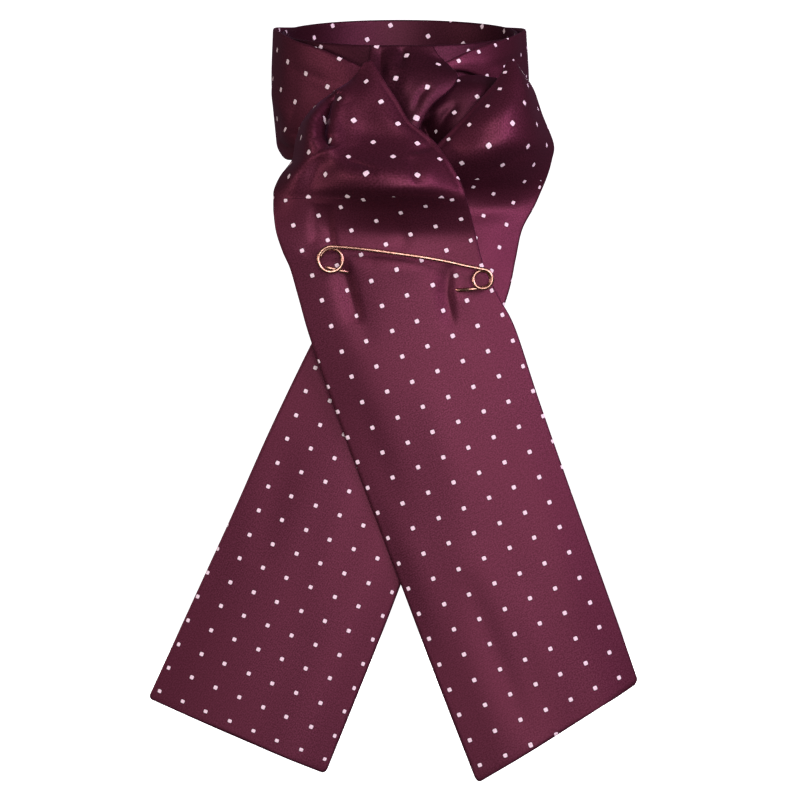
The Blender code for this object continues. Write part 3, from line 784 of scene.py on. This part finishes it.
def tube(name, points, radius, sides, step, finish):
    """A round wire on one smooth curve through the points, with domed ends."""
    points = np.asarray(points, float)
    knots = np.concatenate([[0], np.cumsum(np.linalg.norm(np.diff(points, axis=0), axis=1))])
    count = round(knots[-1] / step)
    line = read_curve(points, knots, np.linspace(0, knots[-1], count + 1))
    ahead = unit(np.gradient(line, axis=0))
    side = np.array((0.0, 1.0, 0.0))
    ends = np.minimum(np.arange(count + 1), np.arange(count + 1)[::-1]) * step
    rounding = np.sqrt(np.clip(1 - (1 - np.clip(ends / radius, 0, 1)) ** 2, 0.02, 1))
    rings = []
    turn = np.arange(sides) * 2 * math.pi / sides
    for index, point in enumerate(line):
        side = side - ahead[index] * (side @ ahead[index])
        side = side / np.linalg.norm(side)
        up = np.cross(ahead[index], side)
        rings.append(point + (np.cos(turn)[:, None] * side + np.sin(turn)[:, None] * up)
                     * radius * rounding[index])
    index = np.arange((count + 1) * sides).reshape(count + 1, sides)
    wrapped = np.concatenate([index, index[:, :1]], 1)
    faces = quads(wrapped)[:, ::-1].tolist()
    faces += [index[0].tolist(), index[-1][::-1].tolist()]
    mesh = bpy.data.meshes.new(name)
    mesh.from_pydata((np.concatenate(rings) * MM).tolist(), [], faces)
    mesh.shade_smooth()
    mesh.materials.append(finish)
    made = bpy.data.objects.new(name, mesh)
    bpy.context.scene.collection.objects.link(made)
    return made


def front_points(table):
    return np.array([(x, -depth, z) for x, z, depth in table], float)


def stock_pin(finish):
    coil = ring_of_wire(COIL_CENTRE, COIL_RADIUS, COIL_TURN, COIL_DEPTH)
    loop = ring_of_wire(LOOP_CENTRE, LOOP_RADIUS, LOOP_TURN, LOOP_DEPTH)
    route = np.concatenate([front_points(PIN_LEG), coil, front_points(PIN_BAR), loop])
    return tube("stock_pin", route, WIRE_RADIUS, WIRE_SIDES, WIRE_STEP, finish)


def tie():
    cloth = satin("maroon_satin", 1.0)
    # Painted shade: the neck band's inner layer gets a darker copy of the satin
    inside_painted_shade_satin = satin("painted_shade_inner_satin", INSIDE_PAINTED_SHADE)
    # Painted shade: the knot and the stretches turned back from it get a darker copy of the satin
    fold_painted_shade_satin = satin("painted_shade_fold_satin", FOLD_PAINTED_SHADE)
    gold = rose_gold()
    front_rows = tail_rows(FRONT_TAIL, TAIL_STATIONS)
    back_rows = tail_rows(BACK_TAIL, BACK_STATIONS)
    neck = on_body(neck_band(inside_painted_shade_satin), "cloth", "neck_front", "neck_back")
    left = on_body(wound_band("left_band", WRAP_LEFT, LEFT_BAND_CREASES, cloth), "cloth", "wrap_left")
    right = on_body(wound_band("right_band", WRAP_RIGHT, RIGHT_BAND_CREASES, cloth), "cloth", "wrap_right")
    front = on_body(hung_tail("front_tail", FRONT_TAIL, TAIL_STATIONS, FRONT_CREASES, FRONT_LIP, cloth),
                    "cloth", "tail_front")
    back = on_body(hung_tail("back_tail", BACK_TAIL, BACK_STATIONS, BACK_CREASES, BACK_LIP, cloth),
                   "cloth", "tail_back")
    knot = on_body(knot_cloth(fold_painted_shade_satin), "cloth", "knot_over")
    left_turn = on_body(turned_back("left_turn", FOLD_LEFT, front_rows, 0, [], fold_painted_shade_satin), "cloth", "fold_left")
    right_turn = on_body(turned_back("right_turn", FOLD_RIGHT, back_rows, -1, RIGHT_TURN_CREASES, fold_painted_shade_satin),
                         "cloth", "fold_right")
    on_body(stock_pin(gold), "pin", "pin")


# Camera at the photo's place, level and straight on
CAMERA_PLACE = (0.0, -1.08, -0.152)
CAMERA_LENS = 97.83
FLOOR_HEIGHT = -0.40
SWEEP_START = 1.2
SWEEP_RADIUS = 0.8
STAGE_HALF = 4.0
STAGE_FRONT = -4.0

# Lamps: name, place, aim, size, power and colour
LAMPS = [
    ("key", (0.17, -1.45, -0.08), (0.0, -0.08, -0.16), 0.75, 12.5, (0.98, 0.93, 1.0)),
    ("above", (-0.05, -1.10, 0.62), (0.0, -0.09, -0.05), 0.45, 3.0, (1.0, 0.84, 0.92)),
    ("left", (-1.15, -0.45, 0.05), (-0.03, -0.05, -0.04), 0.4, 3.6, (1.0, 0.80, 0.82)),
    ("fill", (0.9, -0.95, 0.40), (0.03, -0.06, -0.05), 0.6, 12.0, (0.92, 0.66, 1.0)),
    ("behind", (0.1, 1.15, 0.1), (0.0, 0.0, -0.10), 0.35, 10.0, (1.0, 0.95, 0.97)),
]


def camera():
    made = bpy.data.objects.new("camera", bpy.data.cameras.new("camera"))
    made.data.sensor_width = 36.0
    made.data.lens = CAMERA_LENS
    made.location = CAMERA_PLACE
    made.rotation_euler = (math.radians(90), 0, 0)
    made.data.clip_start = 0.01
    bpy.context.scene.collection.objects.link(made)
    bpy.context.scene.camera = made


def studio_floor():
    """A pale floor that sweeps up in to a backdrop."""
    board = Board("pale_floor")
    board.set(Base_Color=(0.88, 0.88, 0.88, 1.0), Roughness=0.9, Emission_Color=(1.0, 1.0, 1.0, 1.0),
              Emission_Strength=1.0)
    angles = np.radians(np.linspace(0, 90, 25))
    profile = [(STAGE_FRONT, FLOOR_HEIGHT)]
    profile += [(SWEEP_START + SWEEP_RADIUS * math.sin(a), FLOOR_HEIGHT + SWEEP_RADIUS * (1 - math.cos(a)))
                for a in angles]
    profile.append((SWEEP_START + SWEEP_RADIUS, 4.0))
    grid = np.array([[(x, y, z) for x in (-STAGE_HALF, STAGE_HALF)] for y, z in profile]) / MM
    index = np.arange(grid.shape[0] * 2).reshape(-1, 2)
    made = mesh_object("floor", grid.reshape(-1, 3), quads(index)[:, ::-1], board.material)
    made.visible_diffuse = False
    made.visible_glossy = False


def area_light(name, place, aim, size, power, colour):
    lamp = bpy.data.lights.new(name, "AREA")
    lamp.size = size
    lamp.energy = power
    lamp.color = colour
    made = bpy.data.objects.new(name, lamp)
    made.location = place
    made.rotation_euler = (Vector(aim) - Vector(place)).to_track_quat("-Z", "Y").to_euler()
    made.visible_camera = False
    bpy.context.scene.collection.objects.link(made)


def world():
    """White behind the object, and a dim even light on it."""
    made = bpy.data.worlds.new("studio")
    made.use_nodes = True
    nodes = made.node_tree.nodes
    links = made.node_tree.links
    light = nodes["Background"]
    light.inputs["Color"].default_value = (1.0, 0.90, 0.87, 1.0)
    light.inputs["Strength"].default_value = 0.055
    seen = nodes.new("ShaderNodeBackground")
    seen.inputs["Strength"].default_value = 1.0
    seen.inputs["Color"].default_value = (1.0, 1.0, 1.0, 1.0)
    path = nodes.new("ShaderNodeLightPath")
    mix = nodes.new("ShaderNodeMixShader")
    links.new(path.outputs["Is Camera Ray"], mix.inputs[0])
    links.new(light.outputs[0], mix.inputs[1])
    links.new(seen.outputs[0], mix.inputs[2])
    links.new(mix.outputs[0], nodes["World Output"].inputs["Surface"])
    bpy.context.scene.world = made


def studio():
    camera()
    studio_floor()
    world()
    for lamp in LAMPS:
        area_light(*lamp)
    bpy.context.scene.view_settings.view_transform = "Standard"


studio()
tie()
